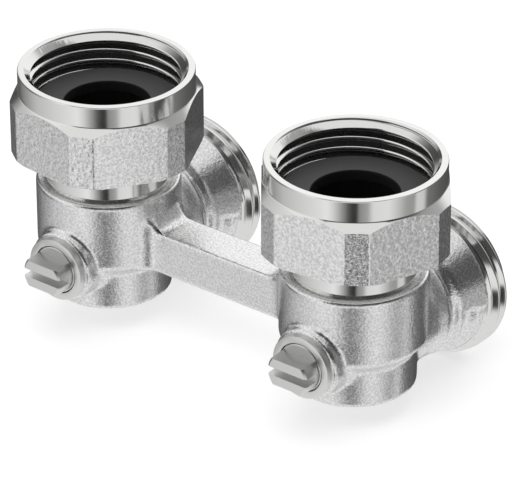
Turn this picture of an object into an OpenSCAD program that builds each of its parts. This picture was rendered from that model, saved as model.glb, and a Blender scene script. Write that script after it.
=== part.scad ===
// Double angle shut-off valve for a panel radiator with bottom connections.
// One forging carries two angle ball valves side by side. Each valve has a loose
// union nut on top, a threaded outlet behind and a slotted spindle in front.
// X runs along the bar, the spindles face -Y, the outlets face +Y, +Z is up.
// Millimetres. The origin is under the middle, level with the lowest thread crest.

/* [Forging] */
// Distance between the two valve axes
valve_spacing = 50; // [46:0.5:60]
// Radius of the upright body of each valve
body_r = 12; // [11.6:0.1:13]
// Height of the body's top edge above the port axis
body_rise = 12; // [11:0.1:14]
// Radius of the closed boss under each body
boss_r = 10.15; // [9.5:0.05:10.8]
// Thickness of the closed floor under the ball
floor_t = 1.65; // [1:0.05:3]
// Height of the sloping step between boss and body
step_h = 2.1; // [0.6:0.1:3]
// Height above the port axis where that step starts
step_rise = 0.45; // [0:0.05:1]
// Rounding of the body's top edge
forged_edge = 0.8; // [0.4:0.1:1.2]
// Rounding of the closed boss's bottom edge
boss_edge = 0.4; // [0.2:0.1:1.2]

/* [Bar between the valves] */
// Width of the bar, front to back
bar_w = 7.4; // [5:0.1:10]
// Height of the bar
bar_h = 7.25; // [5:0.05:9]
// How far the bar's underside lies below the port axis
bar_drop = 0.6; // [0:0.1:2]
// Rounding along the bar's long edges
bar_edge = 0.9; // [0.3:0.1:1.5]
// Radius of the hollow blends at the bar's sides where it meets the bodies
bar_blend = 3; // [1.5:0.1:4]
// Radius of the hollow blends that rise from the bar's top to the bodies
bar_rise_r = 3.2; // [1.5:0.1:4.5]

/* [Union neck and gasket] */
// Radius of the turned neck that carries the union nut
neck_r = 10.55; // [10.2:0.05:10.75]
// Height of the neck's end face above the port axis
neck_rise = 23.2; // [22:0.1:26]
// Radius of the waterway through neck and gasket
neck_bore_r = 7; // [5.5:0.1:7.5]
// Depth and height of the relief turned at the neck's foot
foot_relief = 0.5; // [0.2:0.1:0.8]
// Thickness of the flat gasket
gasket_t = 2; // [1.5:0.1:3]
// Gap between the gasket's rim and the thread around it
gasket_gap = 0.15; // [0.1:0.05:0.5]

/* [Union nut] */
// Overall height of the nut
nut_h = 14.15; // [13.5:0.05:18]
// Height of the turned ring above the hexagon
nut_ring_h = 3.7; // [2:0.1:4.5]
// Wall of the turned ring outside the thread
nut_ring_wall = 1.18; // [0.9:0.02:1.6]
// How far the six wide faces stand out past the turned ring
nut_face_proud = 0.2; // [0.1:0.1:1.5]
// Width of the narrow faces that cut off the six corners
nut_corner_w = 3.9; // [2:0.1:6]
// Drop of the cone that trims the corners under the ring
nut_cone_drop = 1.2; // [0.8:0.1:2]
// Thickness of the inner shoulder that pulls on the snap ring
nut_shoulder_t = 2.95; // [2:0.05:4]
// Turn of the left nut about its axis, degrees
left_nut_turn = 24.6; // [0:0.1:59.9]
// Turn of the right nut about its axis, degrees
right_nut_turn = 37.4; // [0:0.1:59.9]
// Radial running clearance of the nut on the neck
nut_clear = 0.1; // [0.05:0.05:0.3]
// Axial play between the nut's shoulder and the snap ring
nut_play = 0.1; // [0.05:0.05:0.3]
// Wire diameter of the snap ring
wire_d = 1.8; // [1.4:0.1:2]
// Distance from the wire's centre up to the neck's end face
wire_setback = 2.1; // [1.5:0.1:2.6]
// Opening in the snap ring
wire_gap = 3; // [1:0.5:6]

/* [Pipe thread] */
// Outer diameter of the three-quarter inch parallel pipe thread
thread_d = 26.44; // [26:0.01:27.5]
// Thread pitch
thread_pitch = 1.814; // [1.5:0.001:2]
// Depth of the thread
thread_depth = 1.16; // [0.8:0.01:1.2]
// Width of the flat land on the thread's crest
thread_land = 0.4; // [0.2:0.05:0.6]
// How much the outside crests are turned down
crest_trim = 0.12; // [0:0.01:0.2]

/* [Outlets] */
// Reach of the outlet's end face behind the valve axis
outlet_reach = 24.6; // [24:0.1:30]
// Length of the threaded end
outlet_thread_len = 4.2; // [3.6:0.1:8]
// How far the cast collar before the thread stands out past the thread's root
outlet_collar_proud = 0.14; // [0:0.02:0.6]
// Radius of the outlet's cast neck beside the body
outlet_neck_r = 9.2; // [8.8:0.1:10]
// Radius of the bead around the cast neck
bead_r = 10.7; // [10.2:0.1:11.4]
// Radius of the hollow between bead and thread
hollow_r = 9.8; // [9.6:0.1:10.4]
// Radius of the socket that takes the pipe adapter
socket_r = 9.1; // [8.6:0.05:9.3]
// Depth of the socket from the end face
socket_depth = 9.4; // [8:0.1:10.5]
// Radius of the cone at the socket's mouth
mouth_r = 10.2; // [9.5:0.05:10.6]
// Half angle of the sealing cone, degrees
cone_angle = 15; // [12:0.5:20]

/* [Ball and seats] */
// Diameter of the ball
ball_d = 12.5; // [11.8:0.1:13]
// Diameter of the angled waterway in the ball
port_d = 6.4; // [5:0.1:6.8]
// Clearance between the ball and the chamber wall
ball_gap = 0.2; // [0.1:0.05:0.4]
// Clearance between the ball and its seats
seat_gap = 0.04; // [0.02:0.01:0.1]
// Thickness of a seat's flange
seat_flange_t = 1.8; // [1.2:0.1:2.4]
// Radial clearance of seats and retainer in the forging
fit_gap = 0.05; // [0.02:0.01:0.1]
// Thickness of the ledge above the top seat
ledge_t = 1.8; // [1:0.1:2.5]
// Wall of the threaded seat retainer
retainer_wall = 2.4; // [1.5:0.1:3]
// Distance from the retainer's end to the socket
retainer_setback = 1; // [0.4:0.1:2]
// Width of the driver slots in the retainer
driver_slot_w = 2; // [1:0.1:3]
// Depth of the driver slots in the retainer
driver_slot_depth = 1.5; // [0.8:0.1:2]

/* [Spindle] */
// Distance from the valve axis to the spindle boss's face
boss_face_reach = 14; // [13.6:0.1:17]
// Radius of the cast boss around the spindle
spindle_boss_r = 6; // [5.6:0.1:7]
// Wall of the turned ring around the spindle
spindle_ring_wall = 1.33; // [1:0.01:1.5]
// Height of the turned ring
spindle_ring_h = 1.2; // [0.8:0.1:1.6]
// Diameter of the spindle
spindle_d = 8; // [7.4:0.1:8.4]
// Radial running clearance of the spindle
spindle_clear = 0.05; // [0.02:0.01:0.1]
// Length of the tang that stands out of the boss
tang_len = 3.5; // [2.5:0.1:6]
// Distance across the tang's two flats
tang_flats = 4.6; // [4:0.1:6]
// Radial step from the spindle to the tang's rounded ends
tang_step = 0.15; // [0.1:0.05:0.4]
// Width of the screwdriver slot
slot_w = 1.4; // [0.8:0.1:2]
// Depth of the screwdriver slot
slot_depth = 2.5; // [1:0.1:2.5]
// Radial width of the collar that keeps the spindle in
collar_w = 1.2; // [0.8:0.1:1.3]
// Thickness of that collar
collar_t = 0.9; // [0.6:0.1:1.2]
// Thickness of the thrust washer in front of the collar
washer_t = 0.7; // [0.5:0.1:1]
// Gap between the collar and the washer
washer_gap = 0.05; // [0.02:0.01:0.1]
// Width of the tongue that turns the ball
tongue_w = 7; // [5:0.1:7.4]
// Thickness of the tongue
tongue_t = 3; // [2:0.1:3.4]
// How far the tongue reaches into the ball's slot
tongue_reach = 2; // [1.2:0.1:2.2]
// Clearance of the tongue in the ball's slot
tongue_gap = 0.06; // [0.03:0.01:0.15]
// Section diameter of the O-rings
o_ring_d = 1.15; // [0.9:0.05:1.3]
// Width of the O-ring grooves
o_groove_w = 1.5; // [1.3:0.1:1.7]
// Gap of an O-ring to its groove and to the bore
o_gap = 0.02; // [0.01:0.01:0.05]

/* [Hidden] */
$fn = 96;
eps = 0.01;
left = -1;
right = 1;

ball_r = ball_d / 2;
port_r = port_d / 2;
chamber_r = ball_r + ball_gap;
chamber_front = ball_r + 0.25;
boss_drop = chamber_r + floor_t;

seat_contact_angle = 43;
seat_nose_r = ball_r * sin(seat_contact_angle);
seat_start = ball_r + 0.35;
seat_end = seat_start + seat_flange_t;
top_flange_r = ball_r - 0.25;
rear_flange_r = chamber_r - fit_gap;
ledge_end = seat_end + ledge_t;

thread_major_r = thread_d / 2;
thread_minor_r = thread_major_r - thread_depth;
thread_crest_r = thread_major_r - crest_trim;
flank_w = thread_depth * tan(27.5);
ridge_w = 2 * flank_w + thread_land;

neck_chamfer = 0.4;
gasket_r = thread_minor_r - gasket_gap;
gasket_top = neck_rise + gasket_t;
wire_r = wire_d / 2;
wire_z = neck_rise - wire_setback;
wire_centre_r = neck_r + wire_r / 3;

nut_bottom = wire_z - wire_r - nut_play - nut_shoulder_t;
nut_top = nut_bottom + nut_h;
nut_cavity_z = nut_bottom + nut_shoulder_t;
nut_ring_z = nut_top - nut_ring_h;
nut_ring_r = thread_major_r + nut_ring_wall;
nut_apothem = nut_ring_r + nut_face_proud;
nut_corner_apothem = nut_apothem / cos(30) - nut_corner_w / (2 * tan(60));
nut_corner_r = norm([nut_corner_apothem, nut_corner_w / 2]);
nut_foot_chamfer = 0.5;
nut_rim_chamfer = 0.25;
nut_thread_z = gasket_top - 0.5;

outlet_thread_y = outlet_reach - outlet_thread_len;
socket_y = outlet_reach - socket_depth;
cone_len = (mouth_r - socket_r) / tan(cone_angle);
retainer_r = chamber_r + 0.7;
retainer_end = socket_y - retainer_setback;
outlet_collar_r = thread_minor_r + outlet_collar_proud;
bead_y = outlet_thread_y - 5.4;
hollow_y = outlet_thread_y - 3.6;

spindle_r = spindle_d / 2;
spindle_bore_r = spindle_r + spindle_clear;
spindle_ring_r = spindle_bore_r + spindle_ring_wall;
collar_r = spindle_r + collar_w;
collar_end = chamber_front + collar_t;
washer_start = collar_end + washer_gap;
washer_end = washer_start + washer_t;
o_groove_r = spindle_bore_r - o_ring_d - 2 * o_gap;
o_land = (boss_face_reach - washer_end - 2 * o_groove_w) / 3;
o_inner_y = washer_end + o_land + o_groove_w / 2;
o_outer_y = o_inner_y + o_groove_w + o_land;

bar_mid = bar_h / 2 - bar_drop;

front_reach = max(boss_face_reach + tang_len, nut_corner_r);
axis_z = max(thread_crest_r, boss_drop);
axis_y = (front_reach - outlet_reach) / 2;

nickel = [0.74, 0.74, 0.72];
turned = [0.84, 0.84, 0.83];
chrome = [0.9, 0.9, 0.92];
ptfe = [0.96, 0.96, 0.93];
black = [0.09, 0.09, 0.09];
grey_rubber = [0.2, 0.2, 0.2];
brass = [0.8, 0.66, 0.36];
steel = [0.62, 0.63, 0.65];

// Points of a circular arc, from angle a to angle b
function arc(centre, r, a, b, steps = 4) = [
    for (i = [0 : steps])
        let (t = a + (b - a) * i / steps)
        centre + r * [cos(t), sin(t)]
];

// Puts a valve's own frame, centred where its port and valve axes cross, in place
module at_side(side) {
    translate([side * valve_spacing / 2, axis_y, axis_z]) children();
}

// Turns a shape drawn along +Z to point at the outlet
module to_rear() {
    rotate([-90, 0, 0]) children();
}

// Turns a shape drawn along +Z to point at the spindle
module to_front() {
    rotate([90, 0, 0]) children();
}

// One ring-shaped thread ridge; depth is negative for an inside thread
module thread_ridge(root_r, depth) {
    sink = depth > 0 ? -0.3 : 0.3;
    rotate_extrude() polygon([
        [root_r + sink, 0],
        [root_r, 0],
        [root_r + depth, flank_w],
        [root_r + depth, flank_w + thread_land],
        [root_r, ridge_w],
        [root_r + sink, ridge_w]
    ]);
}

// A row of thread ridges that fills the length from z = 0
module thread_ridges(root_r, depth, length) {
    count = floor((length - ridge_w) / thread_pitch) + 1;
    for (i = [0 : count - 1])
        translate([0, 0, i * thread_pitch]) thread_ridge(root_r, depth);
}

// Upright body, closed boss below it and turned neck above it
module upright_blank() {
    neck_foot_r = neck_r - foot_relief;
    rotate_extrude() polygon(concat(
        [[0, -boss_drop]],
        arc([boss_r - boss_edge, boss_edge - boss_drop], boss_edge, -90, 0),
        [[boss_r, step_rise - step_h], [body_r, step_rise]],
        arc([body_r - forged_edge, body_rise - forged_edge], forged_edge, 0, 90),
        [
            [neck_foot_r, body_rise],
            [neck_foot_r, body_rise + foot_relief],
            [neck_r, body_rise + foot_relief],
            [neck_r, neck_rise - neck_chamfer],
            [neck_r - neck_chamfer, neck_rise],
            [0, neck_rise]
        ]
    ));
}

// Cast boss around the spindle with its turned ring
module spindle_boss_blank() {
    cast_end = boss_face_reach - spindle_ring_h;
    flare_r = spindle_boss_r + 1.4;
    to_front() rotate_extrude() polygon([
        [0, 0],
        [flare_r, 0],
        [flare_r, body_r - 3],
        [spindle_boss_r, body_r - 0.4],
        [spindle_boss_r, cast_end - 0.4],
        [spindle_boss_r - 0.4, cast_end],
        [spindle_ring_r, cast_end],
        [spindle_ring_r, boss_face_reach - 0.15],
        [spindle_ring_r - 0.15, boss_face_reach],
        [0, boss_face_reach]
    ]);
}

// Cast outlet neck with its bead and hollow, and the threaded end
module outlet_blank() {
    to_rear() {
        rotate_extrude() polygon([
            [0, 0],
            [outlet_neck_r, 0],
            [outlet_neck_r, bead_y - 3],
            [bead_r - 0.6, bead_y - 0.9],
            [bead_r, bead_y - 0.3],
            [bead_r, bead_y + 0.3],
            [bead_r - 0.6, bead_y + 0.9],
            [hollow_r, hollow_y],
            [hollow_r + 0.4, hollow_y + 0.6],
            [outlet_collar_r - 0.6, outlet_thread_y - 1.9],
            [outlet_collar_r - 0.1, outlet_thread_y - 0.7],
            [outlet_collar_r, outlet_thread_y - 0.4],
            [thread_minor_r, outlet_thread_y - 0.1],
            [thread_minor_r, outlet_reach - 0.2],
            [thread_minor_r - 0.2, outlet_reach],
            [0, outlet_reach]
        ]);
        translate([0, 0, outlet_thread_y])
            thread_ridges(thread_minor_r, thread_crest_r - thread_minor_r, outlet_thread_len);
    }
}

// Smooth cone that fills the hollow behind the bead on the outlet's upper half
module outlet_web() {
    web_len = outlet_thread_y - 0.4 - bead_y;
    intersection() {
        to_rear() translate([0, 0, bead_y])
            cylinder(h = web_len, r1 = bead_r, r2 = outlet_collar_r);
        translate([-2 * body_r, 0, 0])
            cube([4 * body_r, outlet_reach, 2 * body_r]);
    }
}

// Rectangle with rounded corners, centred
module rounded_rect(w, h, r) {
    square([w - 2 * r, h], center = true);
    square([w, h - 2 * r], center = true);
    for (x = [-1, 1], y = [-1, 1])
        translate([x * (w / 2 - r), y * (h / 2 - r)]) circle(r);
}

// Flared root of the bar beside one body, seen from above
module bar_root_outline() {
    reach = body_r + bar_blend;
    blend_y = bar_w / 2 + bar_blend;
    blend_x = sqrt(reach * reach - blend_y * blend_y);
    touch = body_r / reach;
    difference() {
        polygon([
            [0, 0],
            [touch * blend_x, touch * blend_y],
            [blend_x, bar_w / 2],
            [blend_x, -bar_w / 2],
            [touch * blend_x, -touch * blend_y]
        ]);
        for (y = [-1, 1])
            translate([blend_x, y * blend_y]) circle(bar_blend);
    }
}

// Hollow blend that rises from the bar's top to the body, seen from the front
module bar_rise_outline() {
    difference() {
        translate([body_r / 2, 0]) square([body_r / 2 + bar_rise_r, bar_rise_r]);
        translate([body_r + bar_rise_r, bar_rise_r]) circle(bar_rise_r);
    }
}

// The bar that joins the two bodies, with hollow blends at each end
module bar_blank() {
    bar_top = bar_h - bar_drop;
    rise_w = bar_w - 2 * bar_edge;
    translate([0, axis_y, axis_z + bar_mid])
        rotate([90, 0, 90])
        linear_extrude(height = valve_spacing, center = true)
            rounded_rect(bar_w, bar_h, bar_edge);
    for (side = [left, right])
        at_side(side) mirror([side > 0 ? 1 : 0, 0, 0]) {
            translate([0, 0, bar_mid])
                linear_extrude(height = bar_h - 2 * bar_edge, center = true)
                bar_root_outline();
            translate([0, rise_w / 2, bar_top])
                rotate([90, 0, 0])
                linear_extrude(height = rise_w)
                bar_rise_outline();
        }
}

// Waterways, seat pockets, spindle bore and snap ring groove of one valve
module valve_cavity() {
    translate([0, 0, ledge_end]) cylinder(h = neck_rise, r = neck_bore_r);
    cylinder(h = ledge_end + eps, r = seat_nose_r);
    cylinder(h = seat_end, r = top_flange_r + fit_gap);
    to_rear() {
        cylinder(h = seat_end, r = chamber_r);
        translate([0, 0, seat_end - eps]) cylinder(h = outlet_reach, r = retainer_r);
        translate([0, 0, socket_y]) cylinder(h = outlet_reach, r = socket_r);
        translate([0, 0, outlet_reach - cone_len])
            cylinder(h = cone_len + eps, r1 = socket_r, r2 = mouth_r + eps * tan(cone_angle));
    }
    to_front() {
        cylinder(h = chamber_front, r = chamber_r);
        cylinder(h = washer_end, r = collar_r + fit_gap);
        cylinder(h = boss_face_reach + 1, r = spindle_bore_r);
    }
    rotate_extrude() translate([wire_centre_r, wire_z]) circle(wire_r + fit_gap, $fn = 48);
}

// The forging: both bodies, their necks, bosses and outlets, and the bar
module valve_block() {
    color(nickel) difference() {
        union() {
            for (side = [left, right])
                at_side(side) {
                    upright_blank();
                    spindle_boss_blank();
                    outlet_blank();
                    outlet_web();
                }
            bar_blank();
        }
        for (side = [left, right]) at_side(side) valve_cavity();
    }
}

// Hexagon with its corners cut off to six narrow faces
module nut_outline() {
    intersection() {
        rotate(30) circle(r = nut_apothem / cos(30), $fn = 6);
        circle(r = nut_corner_apothem / cos(30), $fn = 6);
    }
}

// Turned envelope that trims the hexagon's corners and forms the ring
module nut_envelope() {
    cone_r = nut_corner_r + 0.05;
    rotate_extrude() polygon([
        [0, nut_bottom],
        [nut_corner_r - 2 * nut_foot_chamfer, nut_bottom],
        [cone_r, nut_bottom + nut_foot_chamfer],
        [cone_r, nut_ring_z - nut_cone_drop],
        [nut_ring_r, nut_ring_z],
        [0, nut_ring_z]
    ]);
}

// Union nut: hexagon below, turned ring above, shoulder and thread inside
module union_nut(side) {
    color(turned) rotate([0, 0, side > 0 ? right_nut_turn : left_nut_turn]) {
        difference() {
            union() {
                intersection() {
                    translate([0, 0, nut_bottom])
                        linear_extrude(height = nut_ring_z - nut_bottom) nut_outline();
                    nut_envelope();
                }
                translate([0, 0, nut_ring_z - 1])
                    cylinder(h = nut_ring_h + 1 - nut_rim_chamfer, r = nut_ring_r);
                translate([0, 0, nut_top - nut_rim_chamfer])
                    cylinder(h = nut_rim_chamfer, r1 = nut_ring_r, r2 = nut_ring_r - nut_rim_chamfer);
            }
            translate([0, 0, nut_bottom - 1]) cylinder(h = nut_h, r = neck_r + nut_clear);
            translate([0, 0, nut_cavity_z]) cylinder(h = nut_h, r = thread_major_r);
        }
        translate([0, 0, nut_thread_z])
            thread_ridges(thread_major_r, -thread_depth, nut_top - nut_thread_z);
    }
}

// Open wire ring in the neck's groove; the nut's shoulder bears on it
module snap_ring() {
    color(steel) difference() {
        rotate_extrude() translate([wire_centre_r, wire_z]) circle(wire_r, $fn = 48);
        translate([0, -wire_gap / 2, wire_z - wire_d])
            cube([2 * neck_r, wire_gap, 2 * wire_d]);
    }
}

// Flat gasket on the neck's end face
module gasket() {
    soft_edge = 0.2;
    color(grey_rubber) rotate_extrude() polygon([
        [neck_bore_r, neck_rise],
        [gasket_r - soft_edge, neck_rise],
        [gasket_r, neck_rise + soft_edge],
        [gasket_r, gasket_top - soft_edge],
        [gasket_r - soft_edge, gasket_top],
        [neck_bore_r, gasket_top]
    ]);
}

// Ball with its angled waterway and the slot for the spindle's tongue
module ball() {
    slot_t = tongue_t + 2 * tongue_gap;
    slot_end = chamber_front - tongue_reach - 2 * tongue_gap;
    color(chrome) difference() {
        sphere(ball_r);
        sphere(port_r);
        cylinder(h = ball_r, r = port_r);
        to_rear() cylinder(h = ball_r, r = port_r);
        translate([-ball_r, -2 * ball_r - slot_end + ball_r, -slot_t / 2])
            cube([2 * ball_r, ball_r, slot_t]);
    }
}

// Seat ring drawn along +Z: a nose against the ball and a flange behind it
module seat_ring(flange_r) {
    color(ptfe) difference() {
        union() {
            cylinder(h = seat_start + eps, r = seat_nose_r - fit_gap);
            translate([0, 0, seat_start]) cylinder(h = seat_flange_t, r = flange_r);
        }
        sphere(ball_r + seat_gap);
        cylinder(h = seat_end + 1, r = port_r);
    }
}

// Threaded ring that holds ball and seats in from behind
module seat_retainer() {
    retainer_len = retainer_end - seat_end;
    outer_r = retainer_r - fit_gap;
    color(brass) to_rear() translate([0, 0, seat_end]) difference() {
        union() {
            cylinder(h = retainer_len - 0.4, r = outer_r);
            translate([0, 0, retainer_len - 0.4])
                cylinder(h = 0.4, r1 = outer_r, r2 = outer_r - 0.4);
        }
        translate([0, 0, -1]) cylinder(h = retainer_len + 2, r = outer_r - retainer_wall);
        translate([-retainer_r, -driver_slot_w / 2, retainer_len - driver_slot_depth])
            cube([2 * retainer_r, driver_slot_w, driver_slot_depth + 1]);
    }
}

// Spindle: tongue, collar, shaft with two grooves, tang with screwdriver slot
module spindle() {
    tang_r = spindle_r - tang_step;
    tip = boss_face_reach + tang_len;
    color(turned) to_front() difference() {
        union() {
            translate([-tongue_w / 2, -tongue_t / 2, chamber_front - tongue_reach])
                cube([tongue_w, tongue_t, tongue_reach + collar_t]);
            translate([0, 0, chamber_front]) cylinder(h = collar_t, r = collar_r);
            translate([0, 0, collar_end - eps])
                cylinder(h = boss_face_reach - collar_end + eps, r = spindle_r);
            intersection() {
                union() {
                    translate([0, 0, boss_face_reach - 1])
                        cylinder(h = tang_len + 1 - 0.3, r = tang_r);
                    translate([0, 0, tip - 0.3])
                        cylinder(h = 0.3, r1 = tang_r, r2 = tang_r - 0.3);
                }
                translate([-spindle_r, -tang_flats / 2, boss_face_reach - 1])
                    cube([spindle_d, tang_flats, tang_len + 2]);
            }
        }
        translate([-spindle_r, -slot_w / 2, tip - slot_depth])
            cube([spindle_d, slot_w, slot_depth + 1]);
        for (y = [o_inner_y, o_outer_y])
            translate([0, 0, y - o_groove_w / 2]) difference() {
                cylinder(h = o_groove_w, r = spindle_d);
                translate([0, 0, -1]) cylinder(h = o_groove_w + 2, r = o_groove_r);
            }
    }
}

// O-ring in a spindle groove
module o_ring(y) {
    color(black) to_front() rotate_extrude()
        translate([o_groove_r + o_gap + o_ring_d / 2, y]) circle(d = o_ring_d, $fn = 48);
}

// Slippery washer between the spindle's collar and the forging
module thrust_washer() {
    color(ptfe) to_front() translate([0, 0, washer_start]) difference() {
        cylinder(h = washer_t, r = collar_r);
        translate([0, 0, -1]) cylinder(h = washer_t + 2, r = spindle_bore_r);
    }
}

valve_block();
at_side(left) union_nut(left);  // left_union_nut
at_side(right) union_nut(right);  // right_union_nut
at_side(left) snap_ring();  // left_snap_ring
at_side(right) snap_ring();  // right_snap_ring
at_side(left) gasket();  // left_gasket
at_side(right) gasket();  // right_gasket
at_side(left) ball();  // left_ball
at_side(right) ball();  // right_ball
at_side(left) seat_ring(top_flange_r);  // left_top_seat
at_side(right) seat_ring(top_flange_r);  // right_top_seat
at_side(left) to_rear() seat_ring(rear_flange_r);  // left_rear_seat
at_side(right) to_rear() seat_ring(rear_flange_r);  // right_rear_seat
at_side(left) seat_retainer();  // left_seat_retainer
at_side(right) seat_retainer();  // right_seat_retainer
at_side(left) spindle();  // left_spindle
at_side(right) spindle();  // right_spindle
at_side(left) thrust_washer();  // left_thrust_washer
at_side(right) thrust_washer();  // right_thrust_washer
at_side(left) o_ring(o_inner_y);  // left_inner_o_ring
at_side(right) o_ring(o_inner_y);  // right_inner_o_ring
at_side(left) o_ring(o_outer_y);  // left_outer_o_ring
at_side(right) o_ring(o_outer_y);  // right_outer_o_ring
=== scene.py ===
import math

import bmesh
import bpy
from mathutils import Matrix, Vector


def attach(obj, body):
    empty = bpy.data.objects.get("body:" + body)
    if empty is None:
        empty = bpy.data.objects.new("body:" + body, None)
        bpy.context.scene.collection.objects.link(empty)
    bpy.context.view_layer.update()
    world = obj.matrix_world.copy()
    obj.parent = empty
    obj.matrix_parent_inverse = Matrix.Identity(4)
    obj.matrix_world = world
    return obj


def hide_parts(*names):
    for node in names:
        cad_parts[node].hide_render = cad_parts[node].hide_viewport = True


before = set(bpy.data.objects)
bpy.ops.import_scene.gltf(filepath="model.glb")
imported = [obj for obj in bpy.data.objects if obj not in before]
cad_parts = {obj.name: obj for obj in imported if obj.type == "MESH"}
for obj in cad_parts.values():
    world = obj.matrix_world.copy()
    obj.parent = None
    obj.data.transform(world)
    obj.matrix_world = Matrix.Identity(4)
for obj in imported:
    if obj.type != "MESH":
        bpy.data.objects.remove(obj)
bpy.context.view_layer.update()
scene = bpy.context.scene
mm = 0.001
tiny = 0.001        # slack when two lengths are compared, in millimetres
weldGap = 1e-6      # points closer than this are merged, in metres
left = -1
right = 1
sideNames = {left: "left", right: "right"}

latheSteps = 128    # corners of a turned piece
smallSteps = 96     # the same for the small ones

# Where the two valves stand, in millimetres
layout = {"valveSpacing": 50, "axisY": -3.55, "axisZ": 13.1}


# Tools used by every piece

def deselectAll():
    if bpy.context.object and bpy.context.object.mode != "OBJECT":
        bpy.ops.object.mode_set(mode="OBJECT")
    bpy.ops.object.select_all(action="DESELECT")


def choose(piece):
    deselectAll()
    piece.select_set(True)
    bpy.context.view_layer.objects.active = piece


def applyPlace(piece):
    choose(piece)
    bpy.ops.object.transform_apply(location=True, rotation=True, scale=True)


def openInEditMode(piece):
    choose(piece)
    bpy.ops.object.mode_set(mode="EDIT")
    bpy.ops.mesh.select_mode(type="VERT")
    bpy.ops.mesh.select_all(action="SELECT")


# Makes all normals point outwards and goes back to object mode
def closeEditMode():
    bpy.ops.mesh.select_all(action="SELECT")
    bpy.ops.mesh.normals_make_consistent(inside=False)
    bpy.ops.object.mode_set(mode="OBJECT")


def applyModifier(piece, kind, **settings):
    modifier = piece.modifiers.new(kind.lower(), kind)
    for name, value in settings.items():
        setattr(modifier, name, value)
    choose(piece)
    bpy.ops.object.modifier_apply(modifier=modifier.name)


# In edit mode: selects only the vertices, edges or faces that the rule takes
def pick(piece, kind, rule):
    bpy.ops.mesh.select_mode(type={"verts": "VERT", "edges": "EDGE", "faces": "FACE"}[kind])
    bpy.ops.mesh.select_all(action="DESELECT")
    mesh = bmesh.from_edit_mesh(piece.data)
    mesh.normal_update()
    for part in getattr(mesh, kind):
        if rule(part):
            part.select_set(True)
    mesh.select_flush_mode()
    bmesh.update_edit_mesh(piece.data)


def runsAlong(edge, axis):
    start, end = (vertex.co["xyz".index(axis)] for vertex in edge.verts)
    return abs(start - end) > 0.1 * mm


def arcPoints(centre, radius, start, end, steps=6):
    angles = [math.radians(start + (end - start) * i / steps) for i in range(steps + 1)]
    return [(centre[0] + radius * math.cos(a), centre[1] + radius * math.sin(a)) for a in angles]


# A circle grown ring by ring along (radius, height) pairs in millimetres
def turnOnLathe(name, profile, closed=False, steps=latheSteps):
    deselectAll()
    radius, height = profile[0]
    bpy.ops.mesh.primitive_circle_add(
        vertices=steps, radius=radius * mm, location=(0, 0, height * mm)
    )
    piece = bpy.context.object
    piece.name = name
    applyPlace(piece)
    openInEditMode(piece)
    for nextRadius, nextHeight in profile[1:] + (profile[:1] if closed else []):
        bpy.ops.mesh.extrude_region_move(
            TRANSFORM_OT_translate={"value": (0, 0, (nextHeight - height) * mm)}
        )
        growth = nextRadius / radius
        bpy.ops.transform.resize(
            value=(growth, growth, 1), center_override=(0, 0, nextHeight * mm)
        )
        radius, height = nextRadius, nextHeight
    bpy.ops.mesh.select_all(action="SELECT")
    if closed:
        bpy.ops.mesh.remove_doubles(threshold=weldGap)
    else:
        bpy.ops.mesh.fill_holes(sides=0)
    closeEditMode()
    return piece


# Edges across the ridge's profile that are left inside it by the extrusions
def runsUpInside(edge, foot, shoulder):
    first, second = edge.verts[0].co.x / mm, edge.verts[1].co.x / mm
    return abs(first - second) < tiny and foot + tiny < first < shoulder + tiny


# Helical ridge of a pipe thread: a trapezoid with a rounded tip and eased feet
def threadRidge(name, rootRadius, depth, start, turns):
    ease, land = pipeThread["ease"], pipeThread["land"]
    tip = rootRadius + depth
    height = depth - ease
    shoulder = tip - height
    base = 2 * height * math.tan(math.radians(pipeThread["flank"])) + land
    deselectAll()
    bpy.ops.mesh.primitive_plane_add(
        size=1, rotation=(math.radians(90), 0, 0),
        location=((tip - height / 2) * mm, 0, start * mm),
    )
    ridge = bpy.context.object
    ridge.name = name
    ridge.scale = (height * mm, base * mm, 1)
    applyPlace(ridge)
    openInEditMode(ridge)
    pick(ridge, "verts", lambda vertex: vertex.co.x > (tip - tiny) * mm)
    bpy.ops.transform.resize(value=(1, 1, land / base), center_override=(tip * mm, 0, start * mm))
    bpy.ops.mesh.bevel(affect="VERTICES", offset=pipeThread["rounding"] * mm, segments=2)
    openInEditMode(ridge)
    pick(ridge, "edges", lambda edge: all(
        vertex.co.x < (shoulder + tiny) * mm for vertex in edge.verts
    ))
    # Each step inwards with its growth in width: the eased foot, then the end sunk in the wall
    width, x = base, shoulder
    for step, growth in ((0.6 * ease, ease), (0.4 * ease, 1.3 * ease), (pipeThread["sink"], 0)):
        x -= step
        bpy.ops.mesh.extrude_region_move(TRANSFORM_OT_translate={"value": (-step * mm, 0, 0)})
        bpy.ops.transform.resize(
            value=(1, 1, (width + growth) / width), center_override=(x * mm, 0, start * mm)
        )
        width += growth
    bpy.ops.mesh.select_all(action="SELECT")
    bpy.ops.mesh.delete(type="ONLY_FACE")
    openInEditMode(ridge)
    pick(ridge, "edges", lambda edge: runsUpInside(edge, x, shoulder))
    bpy.ops.mesh.delete(type="EDGE")
    bpy.ops.object.mode_set(mode="OBJECT")
    applyModifier(
        ridge, "SCREW", angle=2 * math.pi, screw_offset=pipeThread["pitch"] * mm,
        iterations=turns, steps=latheSteps, render_steps=latheSteps,
    )
    openInEditMode(ridge)
    bpy.ops.mesh.fill_holes(sides=0)
    closeEditMode()
    return ridge


def boxPiece(name, low, high):
    deselectAll()
    bpy.ops.mesh.primitive_cube_add(size=1)
    piece = bpy.context.object
    piece.name = name
    piece.location = [(a + b) / 2 * mm for a, b in zip(low, high)]
    piece.scale = [(b - a) * mm for a, b in zip(low, high)]
    applyPlace(piece)
    return piece


# Faces cut by the tool keep the tool's material
def combine(piece, tool, operation="DIFFERENCE"):
    applyModifier(
        piece, "BOOLEAN", object=tool, operation=operation, solver="MANIFOLD",
        material_mode="TRANSFER",
    )
    bpy.data.objects.remove(tool)


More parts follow.
